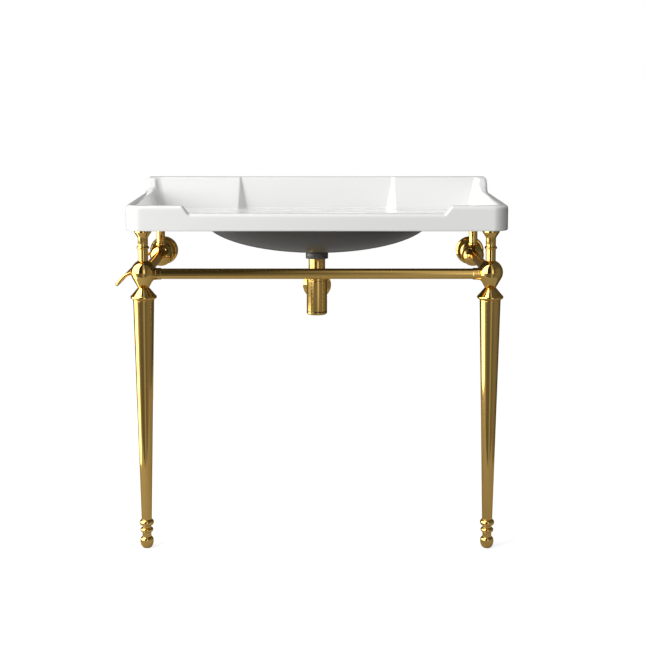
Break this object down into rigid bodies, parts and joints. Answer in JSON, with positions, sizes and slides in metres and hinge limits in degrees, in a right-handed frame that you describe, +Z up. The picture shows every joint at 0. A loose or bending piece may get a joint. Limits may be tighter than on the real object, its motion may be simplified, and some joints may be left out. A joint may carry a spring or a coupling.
{
  "type": "console sink with legs",
  "caption": "Ceramic console basin with a low backsplash on a turned brass stand with two front legs, rails to the wall, a side towel rail and a bottle trap.",
  "frame": {"origin": "on the wall plane, at floor level, in the middle of the sink", "axes": "+X to the right seen from the front, +Y into the wall, +Z up"},
  "size_m": [0.9487, 0.53, 0.885],
  "materials": {
    "china": "white glaze",
    "brass": "polished",
    "rubber": "matt",
    "steel": "plain",
    "plastic": "moulded"
  },
  "bodies": {
    "root": {"basin": "china", "cartridge": "plastic", "cartridge_spring": "steel", "dip_tube": "brass", "front_bulb_left": "brass", "front_bulb_right": "brass", "front_collar_left": "brass", "front_collar_right": "brass", "front_rail": "brass", "grub_screws": "steel", "joining_studs": "steel", "leg_cap_left": "brass", "leg_cap_right": "brass", "leg_left": "brass", "leg_right": "brass", "outlet_nut": "brass", "outlet_pipe": "brass", "outlet_seal": "rubber", "rear_ball_left": "brass", "rear_ball_right": "brass", "rear_pad_left": "rubber", "rear_pad_right": "rubber", "rear_post_left": "brass", "rear_post_right": "brass", "rosette_left": "brass", "rosette_right": "brass", "side_rail_left": "brass", "side_rail_right": "brass", "top_pad_left": "rubber", "top_pad_right": "rubber", "towel_rail": "brass", "trap_body": "brass", "trap_inlet_nut": "brass", "trap_inlet_seal": "rubber", "upper_stem_left": "brass", "upper_stem_right": "brass", "wall_escutcheon": "brass", "wall_flange_left": "brass", "wall_flange_right": "brass", "wall_stub_left": "brass", "wall_stub_right": "brass", "waste_flange": "brass", "waste_gasket": "rubber", "waste_tail": "brass"},
    "foot_slide_left": {"foot_pad_left": "rubber"},
    "foot_turn_left": {"foot_left": "brass"},
    "foot_slide_right": {"foot_pad_right": "rubber"},
    "foot_turn_right": {"foot_right": "brass"},
    "cap_drop": {"cap_seal": "rubber"},
    "cap_turn": {"trap_cap": "brass"},
    "plug": {"click_plug": "brass", "plug_seal": "rubber"}
  },
  "joints": [
    {"name": "level_left", "type": "slide", "parent": "root", "child": "foot_slide_left", "axis": [0, 0, -1], "range_m": [0, 0.012]},
    {"name": "level_turn_left", "type": "hinge", "parent": "foot_slide_left", "child": "foot_turn_left", "pos_m": [-0.4195, -0.463, 0.05], "axis": [0, 0, -1], "range_deg": [0, 2880]},
    {"name": "level_right", "type": "slide", "parent": "root", "child": "foot_slide_right", "axis": [0, 0, -1], "range_m": [0, 0.012]},
    {"name": "level_turn_right", "type": "hinge", "parent": "foot_slide_right", "child": "foot_turn_right", "pos_m": [0.4195, -0.463, 0.05], "axis": [0, 0, -1], "range_deg": [0, 2880]},
    {"name": "cap_drop", "type": "slide", "parent": "root", "child": "cap_drop", "axis": [0, 0, -1], "range_m": [0, 0.012]},
    {"name": "cap_unscrew", "type": "hinge", "parent": "cap_drop", "child": "cap_turn", "pos_m": [0, -0.285, 0.56], "axis": [0, 0, -1], "range_deg": [0, 1440]},
    {"name": "plug_push", "type": "slide", "parent": "root", "child": "plug", "axis": [0, 0, 1], "range_m": [0, 0.009], "deforming": ["cartridge_spring"]}
  ],
  "couplings": [
    {"joint": "level_turn_left", "follows": "level_left", "rad_per_m": 4188.8},
    {"joint": "level_turn_right", "follows": "level_right", "rad_per_m": 4188.8},
    {"joint": "cap_unscrew", "follows": "cap_drop", "rad_per_m": 2094.4}
  ]
}
